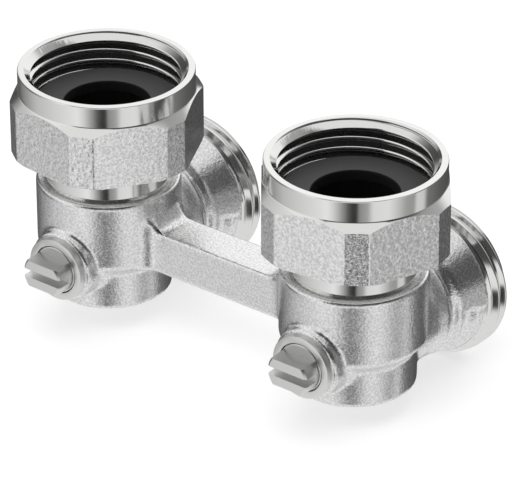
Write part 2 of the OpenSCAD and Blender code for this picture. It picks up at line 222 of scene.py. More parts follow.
def joinPieces(pieces):
    deselectAll()
    for piece in pieces:
        piece.select_set(True)
    bpy.context.view_layer.objects.active = pieces[0]
    bpy.ops.object.join()
    return pieces[0]


def keepHalf(piece, point, normal):
    openInEditMode(piece)
    bpy.ops.mesh.bisect(
        plane_co=[c * mm for c in point], plane_no=normal, use_fill=True, clear_inner=True
    )
    bpy.ops.object.mode_set(mode="OBJECT")


def dress(piece, material):
    piece.data.materials.clear()
    piece.data.materials.append(material)


# Adds a material for the faces that the rule takes by face and distance from the Z axis
def coatFaces(piece, material, rule):
    piece.data.materials.append(material)
    for face in piece.data.polygons:
        if rule(face, math.hypot(face.center.x, face.center.y) / mm):
            face.material_index = len(piece.data.materials) - 1


def smoothFaces(piece, angle):
    choose(piece)
    bpy.ops.object.shade_smooth_by_angle(angle=math.radians(angle))


# Keeps flat faces flat in the shading beside rounded edges
def evenNormals(piece):
    applyModifier(piece, "WEIGHTED_NORMAL", keep_sharp=True, weight=100)


# Turns a piece drawn along +Z to the outlet side or to the spindle side
def pointTo(piece, direction):
    piece.rotation_euler = (math.radians({"rear": -90, "front": 90}[direction]), 0, 0)
    applyPlace(piece)


def copyPiece(piece, name):
    twin = piece.copy()
    twin.data = piece.data.copy()
    twin.name = name
    scene.collection.objects.link(twin)
    return twin


# Moves a piece from a valve's own frame to the valve at side; 0 is the middle of the bar
def placeAt(piece, side):
    piece.location = (
        side * layout["valveSpacing"] / 2 * mm, layout["axisY"] * mm, layout["axisZ"] * mm
    )
    applyPlace(piece)


# Puts a piece in the left valve and a copy of it in the right one
def placePair(piece):
    twin = copyPiece(piece, piece.name + "Right")
    placeAt(piece, left)
    placeAt(twin, right)
    return [piece, twin]


def finishPiece(piece, body, node):
    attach(piece, body)
    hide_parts(node)


# Finished left and right pieces from one model, which is then removed
def finishPair(model, label, body, node, turns=None):
    for side, name in sideNames.items():
        piece = copyPiece(model, f"{name}_{label}")
        if turns:
            piece.rotation_euler = (0, 0, math.radians(turns[side]))
        placeAt(piece, side)
        finishPiece(piece, f"{name}_{body}" if body else "block", f"{name}_{node}")
    bpy.data.objects.remove(model)


# Materials

def grey(level):
    return (level, level, level, 1)


def newMaterial(name):
    material = bpy.data.materials.new(name)
    material.use_nodes = True
    return material, material.node_tree, material.node_tree.nodes["Principled BSDF"]


def addNode(tree, kind, place, **inputs):
    node = tree.nodes.new(kind)
    node.location = place
    for name, value in inputs.items():
        node.inputs[name].default_value = value
    return node


def addMath(tree, operation, place, first=None, second=None):
    node = addNode(tree, "ShaderNodeMath", place)
    node.operation = operation
    for socket, value in zip(node.inputs, (first, second)):
        if value is not None:
            socket.default_value = value
    return node


# Map Range node with its limits set on the From or on the To side
def addRange(tree, place, side, low, high):
    node = addNode(tree, "ShaderNodeMapRange", place)
    node.inputs[f"{side} Min"].default_value = low
    node.inputs[f"{side} Max"].default_value = high
    return node


def addColourMix(tree, place):
    node = addNode(tree, "ShaderNodeMix", place)
    node.data_type = "RGBA"
    return node


def makeGroup(name, inputs, outputs):
    group = bpy.data.node_groups.new(name, "ShaderNodeTree")
    for label, kind, value in inputs:
        socket = group.interface.new_socket(label, in_out="INPUT", socket_type=kind)
        if value is not None:
            socket.default_value = value
    for label in outputs:
        group.interface.new_socket(label, in_out="OUTPUT", socket_type="NodeSocketFloat")
    start = group.nodes.new("NodeGroupInput")
    end = group.nodes.new("NodeGroupOutput")
    start.location = (-900, 0)
    end.location = (700, 0)
    return group, start, end


# Noise scale from a size in millimetres, because Object coordinates are in metres
def addScale(group, size):
    scale = addMath(group, "DIVIDE", (-700, -100), first=1000)
    group.links.new(size, scale.inputs[1])
    return scale.outputs[0]


# Blasted grain: coarse pits over fine crystals, as a height and a mask
def makeGrainGroup():
    group, start, end = makeGroup(
        "blastedGrain",
        [("Vector", "NodeSocketVector", None), ("Grain Size", "NodeSocketFloat", 0.35),
         ("Pit Amount", "NodeSocketFloat", 0.4)],
        ["Height", "Mask"],
    )
    links = group.links
    scale = addScale(group, start.outputs["Grain Size"])
    fine = addNode(group, "ShaderNodeTexNoise", (-450, 150), Detail=2.0, Roughness=0.6)
    pits = addNode(group, "ShaderNodeTexVoronoi", (-300, -150))
    pits.feature = "SMOOTH_F1"
    coarser = addMath(group, "MULTIPLY", (-500, -300), second=0.55)
    mix = addNode(group, "ShaderNodeMix", (0, 0))
    contrast = addRange(group, (250, -150), "From", 0.4, 0.6)
    links.new(scale, fine.inputs["Scale"])
    links.new(scale, coarser.inputs[0])
    links.new(coarser.outputs[0], pits.inputs["Scale"])
    links.new(start.outputs["Vector"], fine.inputs["Vector"])
    links.new(start.outputs["Vector"], pits.inputs["Vector"])
    links.new(start.outputs["Pit Amount"], mix.inputs["Factor"])
    links.new(fine.outputs["Fac"], mix.inputs["A"])
    links.new(pits.outputs["Distance"], mix.inputs["B"])
    links.new(mix.outputs["Result"], end.inputs["Height"])
    links.new(fine.outputs["Fac"], contrast.inputs["Value"])
    links.new(contrast.outputs["Result"], end.inputs["Mask"])
    return group


# Broad soft variation of gloss over a plated surface
def makeCloudGroup():
    group, start, end = makeGroup(
        "platingClouds",
        [("Vector", "NodeSocketVector", None), ("Cloud Size", "NodeSocketFloat", 6.0)],
        ["Mask"],
    )
    clouds = addNode(group, "ShaderNodeTexNoise", (-450, 0), Detail=2.0, Roughness=0.5)
    group.links.new(addScale(group, start.outputs["Cloud Size"]), clouds.inputs["Scale"])
    group.links.new(start.outputs["Vector"], clouds.inputs["Vector"])
    group.links.new(clouds.outputs["Fac"], end.inputs["Mask"])
    return group


grainGroup = makeGrainGroup()
cloudGroup = makeCloudGroup()


def useGroup(tree, group, place, **inputs):
    node = tree.nodes.new("ShaderNodeGroup")
    node.node_tree = group
    node.location = place
    for name, value in inputs.items():
        node.inputs[name.replace("_", " ")].default_value = value
    return node


# Gloss from the clouds and bump from the grain, as every finish here has; returns the grain
def addFinish(tree, shader, look, pits):
    links = tree.links
    place = addNode(tree, "ShaderNodeTexCoord", (-1100, 0))
    clouds = useGroup(tree, cloudGroup, (-800, 200), Cloud_Size=look["clouds"])
    grain = useGroup(
        tree, grainGroup, (-800, -200), Grain_Size=look["grain"], Pit_Amount=pits
    )
    gloss = addRange(tree, (-400, 0), "To", *look["roughness"])
    bump = addNode(
        tree, "ShaderNodeBump", (-400, -250), Strength=look["bump"], Distance=look["depth"] * mm
    )
    links.new(place.outputs["Object"], clouds.inputs["Vector"])
    links.new(place.outputs["Object"], grain.inputs["Vector"])
    links.new(clouds.outputs["Mask"], gloss.inputs["Value"])
    links.new(grain.outputs["Height"], bump.inputs["Height"])
    links.new(gloss.outputs["Result"], shader.inputs["Roughness"])
    links.new(bump.outputs["Normal"], shader.inputs["Normal"])
    return grain


# Pitted nickel whose grey runs from dark to bright with the grain
def makeBlasted(name, look):
    material, tree, shader = newMaterial(name)
    grain = addFinish(tree, shader, look, look["pits"])
    tone = addColourMix(tree, (-400, 250))
    tone.inputs["A"].default_value = grey(look["dark"])
    tone.inputs["B"].default_value = grey(look["bright"])
    tree.links.new(grain.outputs["Mask"], tone.inputs["Factor"])
    tree.links.new(tone.outputs["Result"], shader.inputs["Base Color"])
    shader.inputs["Metallic"].default_value = 1.0
    return material


# Smooth finish in one colour, for turned metal, rubber and plastic
def makeTurned(name, look):
    material, tree, shader = newMaterial(name)
    addFinish(tree, shader, look, 0.0)
    shader.inputs["Base Color"].default_value = (*look["colour"], 1)
    shader.inputs["Metallic"].default_value = look["metallic"]
    return material


# Sizes and depths of the finishes are in millimetres
castNickel = makeBlasted("castNickel", {
    "grain": 0.36, "pits": 0.3, "clouds": 5.0, "dark": 0.7, "bright": 0.88,
    "roughness": (0.18, 0.28), "bump": 1.0, "depth": 0.062,
})
hexNickel = makeBlasted("hexNickel", {
    "grain": 0.44, "pits": 0.5, "clouds": 4.0, "dark": 0.66, "bright": 0.88,
    "roughness": (0.14, 0.24), "bump": 1.0, "depth": 0.15,
})
turnedNickel = makeTurned("turnedNickel", {
    "colour": (0.8, 0.8, 0.79), "metallic": 1.0, "clouds": 3.0, "grain": 0.5,
    "roughness": (0.08, 0.16), "bump": 0.1, "depth": 0.01,
})
satinNickel = makeTurned("satinNickel", {
    "colour": (0.76, 0.76, 0.75), "metallic": 1.0, "clouds": 2.0, "grain": 0.25,
    "roughness": (0.28, 0.38), "bump": 0.25, "depth": 0.015,
})
# Dark grey painted into thread grooves and inner walls as painted shade
paintedShadeThread = makeTurned("paintedShadeThread", {
    "colour": (0.2, 0.2, 0.2), "metallic": 1.0, "clouds": 3.0, "grain": 0.4,
    "roughness": (0.2, 0.35), "bump": 0.15, "depth": 0.01,
})
# Darker nickel painted on the tang's flats as painted shade
paintedShadeNickel = makeTurned("paintedShadeNickel", {
    "colour": (0.48, 0.48, 0.47), "metallic": 1.0, "clouds": 2.0, "grain": 0.25,
    "roughness": (0.28, 0.4), "bump": 0.3, "depth": 0.015,
})
shadedBore = makeTurned("shadedBore", {
    "colour": (0.07, 0.07, 0.068), "metallic": 1.0, "clouds": 4.0, "grain": 0.4,
    "roughness": (0.45, 0.6), "bump": 0.2, "depth": 0.02,
})
ballChrome = makeTurned("ballChrome", {
    "colour": (0.82, 0.82, 0.84), "metallic": 1.0, "clouds": 3.0, "grain": 0.6,
    "roughness": (0.04, 0.09), "bump": 0.05, "depth": 0.01,
})
rawBrass = makeTurned("rawBrass", {
    "colour": (0.75, 0.58, 0.28), "metallic": 1.0, "clouds": 3.0, "grain": 0.5,
    "roughness": (0.2, 0.32), "bump": 0.15, "depth": 0.01,
})
springWire = makeTurned("springWire", {
    "colour": (0.55, 0.56, 0.58), "metallic": 1.0, "clouds": 2.0, "grain": 0.4,
    "roughness": (0.22, 0.34), "bump": 0.1, "depth": 0.01,
})
ptfeWhite = makeTurned("ptfeWhite", {
    "colour": (0.83, 0.83, 0.8), "metallic": 0.0, "clouds": 4.0, "grain": 0.5,
    "roughness": (0.4, 0.5), "bump": 0.1, "depth": 0.02,
})
greyRubber = makeTurned("greyRubber", {
    "colour": (0.065, 0.065, 0.065), "metallic": 0.0, "clouds": 3.0, "grain": 0.25,
    "roughness": (0.6, 0.75), "bump": 0.4, "depth": 0.03,
})
# Black rubber of the O-rings, also painted on the gasket's bore as painted shade
blackRubberAndShade = makeTurned("blackRubberAndShade", {
    "colour": (0.005, 0.005, 0.005), "metallic": 0.0, "clouds": 2.0, "grain": 0.2,
    "roughness": (0.8, 0.9), "bump": 0.2, "depth": 0.02,
})
print("materials made")

# Forging: cast shells fused and softened, then the turned ends and the bores

# Three-quarter inch parallel pipe thread, as on the outlets and in the nuts
pipeThread = {
    "majorRadius": 13.22, "minorRadius": 12.06, "pitch": 1.814, "flank": 27.5, "land": 0.34,
    "rounding": 0.1, "ease": 0.16, "sink": 0.15,
}
# Lengths in a valve's own frame, from the point where port axis and upright axis cross
forging = {
    "voxel": 0.352,         # grid of the cast surface
    "softening": 5,         # rounds of smoothing over the whole casting
    "blendSoftening": 3,    # more rounds where the spindle boss meets the body
    "rootSoftening": 30,    # more rounds at the bar's upper roots
    "smoothFactor": 0.5, "shadeAngle": 40,
    "bodyRadius": 11.9, "bodyTop": 12, "bossRadius": 10.15, "bossBottom": -8.1, "bossEdge": 0.3,
    "stepTop": 0.45, "stepBottom": -1.6, "edge": 0.5,
    "neckRadius": 10.55, "neckTop": 23.2, "neckChamfer": 0.4,
    # (radius, height) from the neck's radius and the body's top
    "neckFoot": [(-0.5, -1), (-0.5, 0.35), (-0.1, 0.5), (0, 0.6)],
    "wireHeight": 21.1, "wireCentre": 10.85, "wireRadius": 0.95, "wireArc": (-108, -252),
    "spindleBoss": 6, "spindleFlare": 6.4, "flareEnd": 8.6, "bossStart": 9.2,
    "castFace": 12.8, "castEdge": 0.35, "faceReach": 14, "ringRadius": 5.38,
    # (radius, distance) from the ring's radius and the boss's face
    "ringEdge": [(0, -0.18), (-0.05, -0.06), (-0.18, 0)],
    "outletReach": 24.6, "threadStart": 20.2, "ridgeStart": 18.0, "ridgeTurns": 4,
    "crestTrim": 0.12, "outletNeck": 9.6, "collarRadius": 12.2, "beadRadius": 10.65,
    # (radius, distance) along the neck, the bead and the hollow behind the collar
    "outletRibs": [
        (9.6, 10), (9.95, 12.2), (9.85, 12.8), (9.4, 13.4), (9.45, 13.8), (10.3, 14.3),
        (10.65, 14.8), (10.65, 15.3), (10.3, 15.8), (9.8, 16.7), (10.1, 17.3), (11.0, 17.9),
        (11.6, 18.4), (11.65, 18.8), (11.45, 19.2),
    ],
    # The same from the collar's radius and the thread's start
    "collarEdge": [(-0.1, -0.7), (0, -0.35), (-0.1, -0.05)],
    "webStart": 15, "webEnd": (-0.1, -0.6),
    # The ridge rises and falls between these (depth, distance) pairs, from root and thread ends
    "ridgeRise": [(-0.3, -1.2), (0.1, -0.3)], "fullRidge": (0.5, -0.6), "ridgeFall": 0.1,
    # Faces of the thread painted dark as painted shade: depth from its root, slope, and distance
    # from its ends
    "paintedShadeDepth": (-0.15, 0.5), "paintedShadeSlope": 0.6, "paintedShadeEnds": (0.2, 0.25),
}
# The bar between the two bodies, its hollow blends and the fine seam on its top front edge
bar = {
    "width": 7.4, "top": 6.65, "bottom": -0.85, "topEdge": 0.35, "lowEdge": 0.7,
    "sideBlend": 3, "rise": 3.2, "blendSteps": 12, "blendStep": 0.38, "sunkEnd": 6,
    # Share of each blend's quarter turn that is made, short of standing square to the bar
    "sideShare": 0.9, "riseShare": 0.94,
    "seamWidth": 0.24, "seamDepth": 0.22, "seamInset": 0.2, "seamReach": 13.2, "seamCuts": 60,
    "rippleSize": 1.1, "rippleStrength": 0.22,
}
# Where the casting gets more softening: round the spindle axis and at the bar's upper roots
blendZones = {
    "bossInside": 0.3, "bossOutside": 0.8, "bossReach": (6.5, 12.2),
    "rootSpan": (10.6, 15.2), "rootWidth": 7.5, "rootHeight": (5.6, 10.5),
}
bores = {
    "waterway": 7, "ledge": 4.262, "ledgeEnd": 10.2, "seatPocket": 6.05, "seatEnd": 8.4,
    "chamber": 6.45, "retainerPocket": 7.15, "socket": 9.1, "socketStart": 15.2,
    "mouth": 10.2, "mouthDepth": 4.105,
    "frontChamber": 6.4, "chamberFront": 6.5, "collar": 5.25, "collarEnd": 8.15,
    "spindle": 4.05, "spindleEnd": 13.1,
}


def makeUprightCasting():
    f = forging
    low, high = f["bossEdge"], f["edge"]
    profile = arcPoints((f["bossRadius"] - low, f["bossBottom"] + low), low, -90, 0, 3)
    profile += [(f["bossRadius"], f["stepBottom"]), (f["bodyRadius"], f["stepTop"])]
    profile += arcPoints((f["bodyRadius"] - high, f["bodyTop"] - high), high, 0, 90)
    return turnOnLathe("uprightCasting", profile)


def makeSpindleCasting():
    f = forging
    flare, boss = f["spindleFlare"], f["spindleBoss"]
    casting = turnOnLathe("spindleCasting", [
        (flare, 0), (flare, f["flareEnd"]), (boss, f["bossStart"]),
        (boss, f["castFace"] - f["castEdge"]), (boss - f["castEdge"], f["castFace"]),
    ])
    pointTo(casting, "front")
    return casting


# Outlet with its ribs, and a web that fills the hollow on its upper half
def makeOutletCasting():
    f = forging
    collar, start = f["collarRadius"], f["threadStart"]
    edge = [(collar + out, start + along) for out, along in f["collarEdge"]]
    casting = turnOnLathe("outletCasting", [(f["outletNeck"], 0), *f["outletRibs"], *edge])
    out, along = f["webEnd"]
    web = turnOnLathe("outletWeb", [
        (f["beadRadius"], f["webStart"]), (collar + out, start + along),
    ])
    for piece in (casting, web):
        pointTo(piece, "rear")
    keepHalf(web, (0, 0, 0), (0, 0, 1))
    return joinPieces([casting, web])


# Half the bar starts as a cube; its end is drawn out to the body along the hollow blends
def makeBarCasting():
    b = bar
    side, rise = b["sideBlend"], b["rise"]
    half = layout["valveSpacing"] / 2
    blendY = b["width"] / 2 + side
    sideStart = half - math.sqrt((forging["bodyRadius"] + side) ** 2 - blendY ** 2)
    riseStart = half - forging["bodyRadius"] - rise
    bottom, top, width, x = b["bottom"], b["top"], b["width"], riseStart
    piece = boxPiece("barCasting", (0, -width / 2, bottom), (riseStart, width / 2, top))
    for edgeSize, takesTop in ((b["topEdge"], True), (b["lowEdge"], False)):
        openInEditMode(piece)
        pick(piece, "edges", lambda edge: runsAlong(edge, "x")
             and (edge.verts[0].co.z > (top - tiny) * mm if takesTop
                  else edge.verts[0].co.z < (bottom + tiny) * mm))
        bpy.ops.mesh.bevel(offset=edgeSize * mm, segments=4, affect="EDGES")
    openInEditMode(piece)
    pick(piece, "faces", lambda face: face.normal.x > 0.9)
    for step in range(1, b["blendSteps"] + 1):
        nextX = riseStart + step * b["blendStep"]
        sideTurn = min(max(nextX - sideStart, 0) / side, b["sideShare"])
        riseTurn = min((nextX - riseStart) / rise, b["riseShare"])
        nextWidth = b["width"] + 2 * side * (1 - math.sqrt(1 - sideTurn ** 2))
        nextTop = b["top"] + rise * (1 - math.sqrt(1 - riseTurn ** 2))
        bpy.ops.mesh.extrude_region_move(
            TRANSFORM_OT_translate={"value": ((nextX - x) * mm, 0, 0)}
        )
        bpy.ops.transform.resize(
            value=(1, nextWidth / width, (nextTop - bottom) / (top - bottom)),
            center_override=(nextX * mm, 0, bottom * mm),
        )
        width, top, x = nextWidth, nextTop, nextX
    bpy.ops.mesh.extrude_region_move(TRANSFORM_OT_translate={"value": (b["sunkEnd"] * mm, 0, 0)})
    openInEditMode(piece)
    pick(piece, "faces", lambda face: face.calc_center_median().x < weldGap)
    bpy.ops.mesh.delete(type="FACE")
    bpy.ops.object.mode_set(mode="OBJECT")
    applyModifier(piece, "MIRROR", merge_threshold=weldGap)
    placeAt(piece, 0)
    return piece


# Fine seam along the bar's top front edge, a little uneven
def cutBarSeam(casting):
    b = bar
    front = b["seamInset"] - b["width"] / 2
    seam = boxPiece(
        "barSeam", (-b["seamReach"], front, b["top"] - b["seamDepth"]),
        (b["seamReach"], front + b["seamWidth"], b["top"] + 0.6),
    )
    openInEditMode(seam)
    bpy.ops.mesh.subdivide(number_cuts=b["seamCuts"], fractal=0)
    bpy.ops.object.mode_set(mode="OBJECT")
    ripple = bpy.data.textures.new("seamRipple", "CLOUDS")
    ripple.noise_scale = b["rippleSize"] * mm
    applyModifier(
        seam, "DISPLACE", texture=ripple, texture_coords="LOCAL", direction="Y",
        strength=b["rippleStrength"] * mm, mid_level=0.5,
    )
    placeAt(seam, 0)
    dress(seam, castNickel)
    combine(casting, seam)


# Marks the points near the spindle bosses and the bar's upper roots for more softening
def markBlends(casting):
    bossBlend = casting.vertex_groups.new(name="bossBlend")
    rootBlend = casting.vertex_groups.new(name="rootBlend")
    zones = blendZones
    nearest = forging["spindleBoss"] - zones["bossInside"]
    farthest = forging["spindleFlare"] + zones["bossOutside"]
    for vertex in casting.data.vertices:
        fromMiddle = abs(vertex.co.x) / mm
        y = layout["axisY"] - vertex.co.y / mm
        z = vertex.co.z / mm - layout["axisZ"]
        radius = math.hypot(fromMiddle - layout["valveSpacing"] / 2, z)
        if nearest < radius < farthest and zones["bossReach"][0] < y < zones["bossReach"][1]:
            bossBlend.add([vertex.index], 1.0, "REPLACE")
        if (zones["rootSpan"][0] < fromMiddle < zones["rootSpan"][1]
                and abs(y) < zones["rootWidth"]
                and zones["rootHeight"][0] < z < zones["rootHeight"][1]):
            rootBlend.add([vertex.index], 1.0, "REPLACE")


def makeTurnedNeck():
    f = forging
    radius, low, top = f["neckRadius"], f["bodyTop"], f["neckTop"]
    foot = [(radius + out, low + up) for out, up in f["neckFoot"]]
    wire = arcPoints((f["wireCentre"], f["wireHeight"]), f["wireRadius"], *f["wireArc"], 8)
    neck = turnOnLathe("turnedNeck", [
        *foot, (radius, wire[0][1]), *wire[1:-1], (radius, wire[-1][1]),
        (radius, top - f["neckChamfer"]), (radius - f["neckChamfer"], top),
    ])
    dress(neck, turnedNickel)
    return neck


def makeTurnedFace():
    f = forging
    edge = [(f["ringRadius"] + out, f["faceReach"] + along) for out, along in f["ringEdge"]]
    face = turnOnLathe("turnedFace", [(f["ringRadius"], f["castFace"] - 1), *edge])
    pointTo(face, "front")
    dress(face, satinNickel)
    return face


# Outlet thread whose helical ridge fades out at both ends; its roots are painted dark as painted
# shade
def makeOutletThread():
    f = forging
    start, end = f["threadStart"], f["outletReach"]
    root, crest = pipeThread["minorRadius"], pipeThread["majorRadius"] - f["crestTrim"]
    thread = turnOnLathe("outletThread", [(root, start - 1), (root, end - 0.2), (root - 0.2, end)])
    ridge = threadRidge("outletRidge", root, crest - root, f["ridgeStart"], f["ridgeTurns"])
    combine(thread, ridge, "UNION")
    rise = [(root + out, start + along) for out, along in f["ridgeRise"]]
    full, falling = f["fullRidge"]
    envelope = turnOnLathe("outletEnvelope", [
        *rise, (crest, start + full), (crest, end + falling), (root + f["ridgeFall"], end),
    ])
    combine(thread, envelope, "INTERSECT")
    dress(thread, turnedNickel)
    deepest, highest = f["paintedShadeDepth"]
    first, last = f["paintedShadeEnds"]
    # Roots and steep faces of the outlet thread are painted dark as painted shade
    coatFaces(thread, paintedShadeThread, lambda face, reach: (
        root + deepest < reach < root + highest and abs(face.normal.z) < f["paintedShadeSlope"]
        and (start + first) * mm < face.center.z < (end - last) * mm
    ))
    pointTo(thread, "rear")
    return thread


def makeBores():
    b = bores
    end = forging["outletReach"]
    upright = turnOnLathe("uprightBore", [
        (b["seatPocket"], 0), (b["seatPocket"], b["seatEnd"]), (b["ledge"], b["seatEnd"]),
        (b["ledge"], b["ledgeEnd"]), (b["waterway"], b["ledgeEnd"]),
        (b["waterway"], forging["neckTop"] + 0.1),
    ])
    rear = turnOnLathe("rearBore", [
        (b["chamber"], 0), (b["chamber"], b["seatEnd"]), (b["retainerPocket"], b["seatEnd"]),
        (b["retainerPocket"], b["socketStart"]), (b["socket"], b["socketStart"]),
        (b["socket"], end - b["mouthDepth"]), (b["mouth"], end), (b["mouth"] + 0.1, end + 0.4),
    ])
    spindleBore, edge = b["spindle"], b["spindleEnd"]
    front = turnOnLathe("frontBore", [
        (b["frontChamber"], 0), (b["frontChamber"], b["chamberFront"]),
        (b["collar"], b["chamberFront"]), (b["collar"], b["collarEnd"]),
        (spindleBore, b["collarEnd"]), (spindleBore, edge), (spindleBore + 0.09, edge + 0.1),
        (spindleBore + 0.09, edge + 0.8), (spindleBore + 0.2, edge + 1),
    ])
    dress(upright, shadedBore)
    for piece, direction in ((rear, "rear"), (front, "front")):
        pointTo(piece, direction)
        dress(piece, turnedNickel)
    return [upright, rear, front]


def makeForging():
    shells = [makeBarCasting()]
    for build in (makeUprightCasting, makeSpindleCasting, makeOutletCasting):
        shells += placePair(build())
    casting = joinPieces(shells)
    casting.name = "forged_valve_block"
    applyModifier(casting, "REMESH", mode="VOXEL", voxel_size=forging["voxel"] * mm, adaptivity=0)
    markBlends(casting)
    for zone, rounds in (("bossBlend", "blendSoftening"), ("rootBlend", "rootSoftening"),
                         ("", "softening")):
        applyModifier(
            casting, "SMOOTH", factor=forging["smoothFactor"], iterations=forging[rounds],
            vertex_group=zone,
        )
    dress(casting, castNickel)
    for build in (makeTurnedNeck, makeTurnedFace, makeOutletThread):
        combine(casting, joinPieces(placePair(build())), "UNION")
    cutBarSeam(casting)
    for tool in makeBores():
        combine(casting, joinPieces(placePair(tool)))
    smoothFaces(casting, forging["shadeAngle"])
    finishPiece(casting, "block", "valve_block")
    print("forging made:", len(casting.data.polygons), "faces")


makeForging()

# Union nuts

nut = {
    "bottom": 17.15, "height": 14.15, "ringHeight": 3.7, "ringRadius": 14.4, "rimEdge": 0.25,
    "faceApothem": 14.6, "cornerWidth": 3.9, "cornerTrim": 0.8, "cornerRounding": 0.2,
    "coneDrop": 1.35, "footTrim": 1.5, "footChamfer": 0.5, "holeRadius": 10.65, "shoulder": 2.95,
    "threadStart": 24.3, "grooveStart": 23.27, "grooveTurns": 5, "mouthDepth": 1.25,
    "turn": {left: 24.6, right: 37.4},      # degrees at rest
    "paintedShadeSlope": 0.3, "shadeAngle": 29,
    "runIn": 0.7,           # cone between the cavity and the thread
    # (radius, height) from the ring's radius and its lower edge
    "ringFoot": [(0.12, -0.08), (0, 0.12)],
}


# Hexagonal bar whose corners are cut to narrow faces with a small rounding
def makeHexagon(corner):
    n = nut
    deselectAll()
    bpy.ops.mesh.primitive_cylinder_add(
        vertices=6, radius=corner * mm,
        depth=(n["height"] + 2) * mm, location=(0, 0, (n["bottom"] + n["height"] / 2) * mm),
    )
    piece = bpy.context.object
    piece.name = "unionNut"
    applyPlace(piece)
    cut = n["cornerWidth"] / 2 / math.sin(math.radians(60))
    for offset, segments in ((cut, 1), (n["cornerRounding"], 3)):
        openInEditMode(piece)
        pick(piece, "edges", lambda edge: runsAlong(edge, "z"))
        bpy.ops.mesh.bevel(offset=offset * mm, segments=segments, affect="EDGES")
    bpy.ops.object.mode_set(mode="OBJECT")
    dress(piece, hexNickel)
    return piece


def makeNut():
    n = nut
    top = n["bottom"] + n["height"]
    ringStart = top - n["ringHeight"]
    major, minor = pipeThread["majorRadius"], pipeThread["minorRadius"]
    corner = n["faceApothem"] / math.cos(math.radians(30))
    piece = makeHexagon(corner)
    ring, rim, wide = n["ringRadius"], n["rimEdge"], corner - n["cornerTrim"]
    foot = [(ring + out, ringStart + up) for out, up in n["ringFoot"]]
    envelope = turnOnLathe("nutEnvelope", [
        (corner - n["footTrim"], n["bottom"]), (wide, n["bottom"] + n["footChamfer"]),
        (wide, ringStart - n["coneDrop"]), *foot,
        (ring, top - rim), (ring - 0.07, top - 0.08), (ring - rim, top),
    ])
    dress(envelope, turnedNickel)
    combine(piece, envelope, "INTERSECT")
    cavity = n["bottom"] + n["shoulder"]
    inside = turnOnLathe("nutInside", [
        (major, cavity), (major, n["threadStart"] - n["runIn"]), (minor, n["threadStart"]),
        (minor, top - n["mouthDepth"]), (major + 0.1, top + 0.02), (major + 0.2, top + 0.5),
    ])
    groove = threadRidge("nutGroove", minor, major - minor, n["grooveStart"], n["grooveTurns"])
    hole = turnOnLathe("nutHole", [
        (n["holeRadius"] + 0.3, n["bottom"] - 0.2), (n["holeRadius"], n["bottom"] + 0.25),
        (n["holeRadius"], cavity + 1),
    ])
    for tool in (inside, groove, hole):
        dress(tool, turnedNickel)
        combine(piece, tool)
    # Grooves and inner wall are painted dark as painted shade; the flanks that face up keep the
    # bright finish
    coatFaces(piece, paintedShadeThread, lambda face, reach: (
        n["holeRadius"] + 0.5 < reach < major + 0.1
        and face.center.z < (top - n["mouthDepth"]) * mm and face.normal.z < n["paintedShadeSlope"]
    ))
    smoothFaces(piece, n["shadeAngle"])
    evenNormals(piece)
    finishPair(piece, "hexagon_nut", "nut", "union_nut", n["turn"])
    print("union nuts made")


makeNut()

# Spindles

spindle = {
    "radius": 4, "faceReach": 14, "tip": 17.5, "tipEdge": 0.35, "flats": 4.6, "tangStep": 0.15,
    "slotWidth": 1.4, "slotDepth": 2.5, "edge": 0.1, "shaftEdge": 0.12,
    "edgeAngle": 40, "shadeAngle": 35,
    "collarRadius": 5.2, "collar": (6.5, 7.4), "grooveWidth": 1.5, "grooves": (9.61, 11.81),
    "grooveRadius": 2.86, "tongue": (7, 3, 2),      # width, thickness, length
}


# Tang with two flats and a screwdriver slot
def makeTang():
    s = spindle
    radius, tip, flat, slot = s["radius"] - s["tangStep"], s["tip"], s["flats"], s["slotWidth"]
    tang = turnOnLathe("tang", [
        (radius, s["faceReach"] - 1), (radius, tip - s["tipEdge"]), (radius - s["tipEdge"], tip),
    ], steps=smallSteps)
    keepHalf(tang, (0, flat / 2, 0), (0, -1, 0))
    keepHalf(tang, (0, -flat / 2, 0), (0, 1, 0))
    combine(tang, boxPiece("slot", (-5, -slot / 2, tip - s["slotDepth"]), (5, slot / 2, tip + 1)))
    applyModifier(
        tang, "BEVEL", width=s["edge"] * mm, segments=3, limit_method="ANGLE",
        angle_limit=math.radians(s["edgeAngle"]),
    )
    return tang


def makeSpindle():
    s = spindle
    radius, groove, end = s["radius"], s["grooveRadius"], s["faceReach"]
    collarStart, collarEnd = s["collar"]
    profile = [(s["collarRadius"], collarStart), (s["collarRadius"], collarEnd),
               (radius, collarEnd)]
    for middle in s["grooves"]:
        low, high = middle - s["grooveWidth"] / 2, middle + s["grooveWidth"] / 2
        profile += [(radius, low), (groove, low), (groove, high), (radius, high)]
    profile += [(radius, end - s["shaftEdge"]), (radius - s["shaftEdge"], end)]
    shaft = turnOnLathe("shaft", profile, steps=smallSteps)
    width, thick, length = s["tongue"]
    tongue = boxPiece(
        "tongue", (-width / 2, -thick / 2, collarStart - length),
        (width / 2, thick / 2, collarStart + 0.5),
    )
    for part in (makeTang(), tongue):
        combine(shaft, part, "UNION")
    pointTo(shaft, "front")
    dress(shaft, satinNickel)
    # The tang's flats are painted darker as painted shade
    coatFaces(shaft, paintedShadeNickel, lambda face, reach: (
        face.center.y < -(end + 0.1) * mm and abs(face.normal.z) > 0.9
        and abs(face.center.z) > (s["flats"] / 2 - 0.1) * mm
    ))
    smoothFaces(shaft, s["shadeAngle"])
    evenNormals(shaft)
    finishPair(shaft, "slotted_spindle", "shutoff", "spindle")
    print("spindles made")


makeSpindle()

# Balls, seats, retainers, gaskets and rings

ball = {
    "radius": 6.25, "portRadius": 3.2, "slotThick": 3.12, "slotEnd": 4.38, "shadeAngle": 30,
    "poleAngle": 89.2, "elbowAngle": 88,        # where the ball's and the elbow's profiles end
    # (radius, distance) from the port's radius and the ball's centre
    "portMouth": [(0, -0.01), (0, 5.2), (0.5, 6.0), (0.6, 7)],
}


